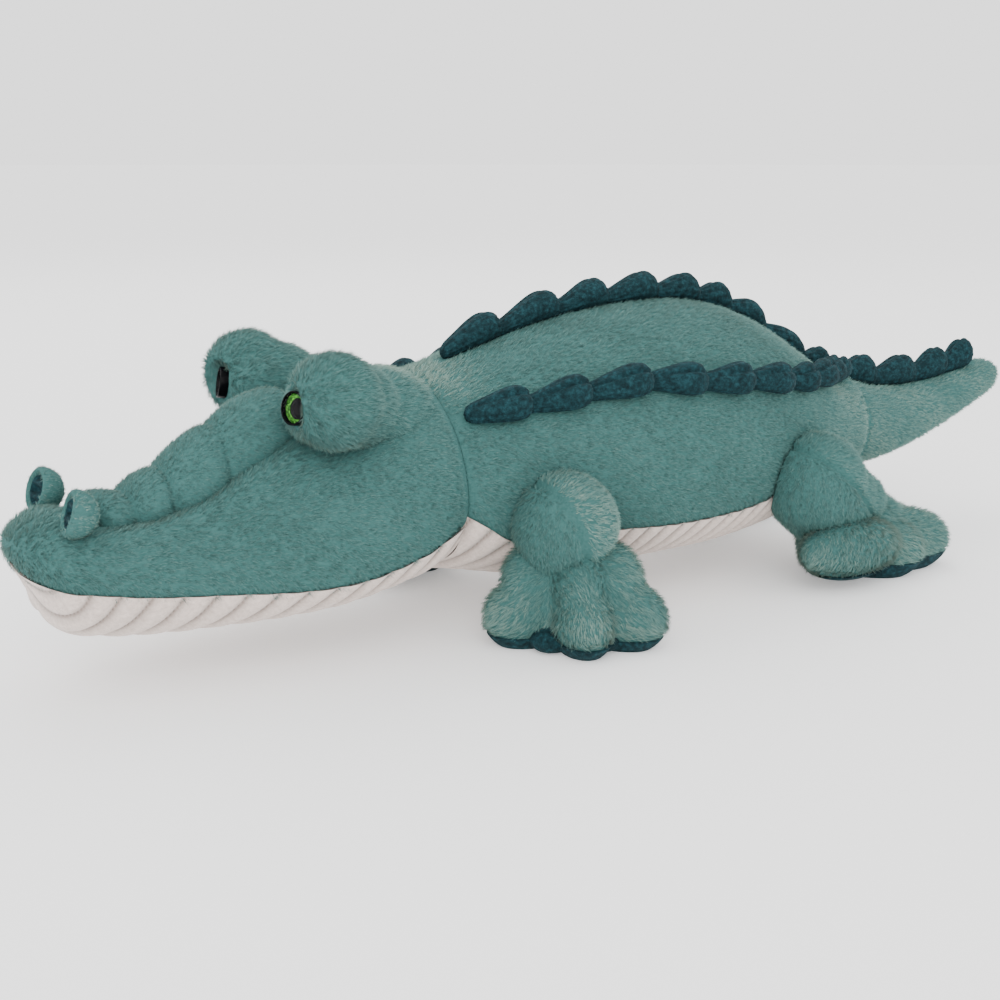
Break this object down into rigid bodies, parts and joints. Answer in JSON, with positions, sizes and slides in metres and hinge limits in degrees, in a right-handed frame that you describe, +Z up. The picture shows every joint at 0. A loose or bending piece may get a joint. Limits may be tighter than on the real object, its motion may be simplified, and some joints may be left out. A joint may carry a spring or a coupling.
{
  "type": "plush crocodile",
  "caption": "Stuffed crocodile on short legs, with corduroy chin and belly, velour back ridges and plastic eyes.",
  "frame": {"origin": "middle of the whole toy in length and width, on the surface that it stands on", "axes": "+Z up, snout towards -X and tail towards +X, the toy's left side towards -Y"},
  "size_m": [0.571, 0.1986, 0.1465],
  "materials": {
    "plush": "short fluffy teal plush, combed",
    "velour": "short dark teal velour",
    "corduroy": "wide-wale off-white corduroy",
    "black_plastic": "gloss black",
    "green_glitter": "bright green glitter",
    "clear_plastic": "clear, polished dome",
    "washer_plastic": "plain moulded"
  },
  "bodies": {
    "body": {"body": "plush", "belly_panel": "corduroy", "middle_ridge": "velour", "left_ridge": "velour", "right_ridge": "velour"},
    "head": {"head": "plush", "chin_panel": "corduroy", "snout_strip": "plush", "left_eye_mound": "plush", "left_eye_cup": "black_plastic", "left_eye_iris": "green_glitter", "left_eye_pupil": "black_plastic", "left_eye_lens": "clear_plastic", "left_eye_washer": "washer_plastic", "left_nostril": "plush", "left_nostril_lining": "velour", "right_eye_mound": "plush", "right_eye_cup": "black_plastic", "right_eye_iris": "green_glitter", "right_eye_pupil": "black_plastic", "right_eye_lens": "clear_plastic", "right_eye_washer": "washer_plastic", "right_nostril": "plush", "right_nostril_lining": "velour"},
    "tail": {"tail": "plush", "tail_ridge": "velour"},
    "front_left": {"front_left_leg": "plush", "front_left_foot": "plush", "front_left_sole": "velour"},
    "front_right": {"front_right_leg": "plush", "front_right_foot": "plush", "front_right_sole": "velour"},
    "hind_left": {"hind_left_leg": "plush", "hind_left_foot": "plush", "hind_left_sole": "velour"},
    "hind_right": {"hind_right_leg": "plush", "hind_right_foot": "plush", "hind_right_sole": "velour"}
  },
  "joints": [
    {"name": "neck_turn", "type": "hinge", "parent": "body", "child": "head", "pos_m": [-0.0545, 0, 0.066], "axis": [0, 0, 1], "range_deg": [-8, 8], "stiffness_Nm_per_rad": 0.6},
    {"name": "tail_swing", "type": "hinge", "parent": "body", "child": "tail", "pos_m": [0.1205, 0, 0.063], "axis": [0, 0, 1], "range_deg": [-15, 15], "stiffness_Nm_per_rad": 0.3},
    {"name": "front_left_swing", "type": "hinge", "parent": "body", "child": "front_left", "pos_m": [-0.0725, -0.063, 0.052], "axis": [0, 1, 0], "range_deg": [-15, 15], "stiffness_Nm_per_rad": 0.5},
    {"name": "front_right_swing", "type": "hinge", "parent": "body", "child": "front_right", "pos_m": [-0.0725, 0.063, 0.052], "axis": [0, 1, 0], "range_deg": [-15, 15], "stiffness_Nm_per_rad": 0.5},
    {"name": "hind_left_swing", "type": "hinge", "parent": "body", "child": "hind_left", "pos_m": [0.0745, -0.063, 0.05], "axis": [0, 1, 0], "range_deg": [-15, 15], "stiffness_Nm_per_rad": 0.5},
    {"name": "hind_right_swing", "type": "hinge", "parent": "body", "child": "hind_right", "pos_m": [0.0745, 0.063, 0.05], "axis": [0, 1, 0], "range_deg": [-15, 15], "stiffness_Nm_per_rad": 0.5}
  ]
}
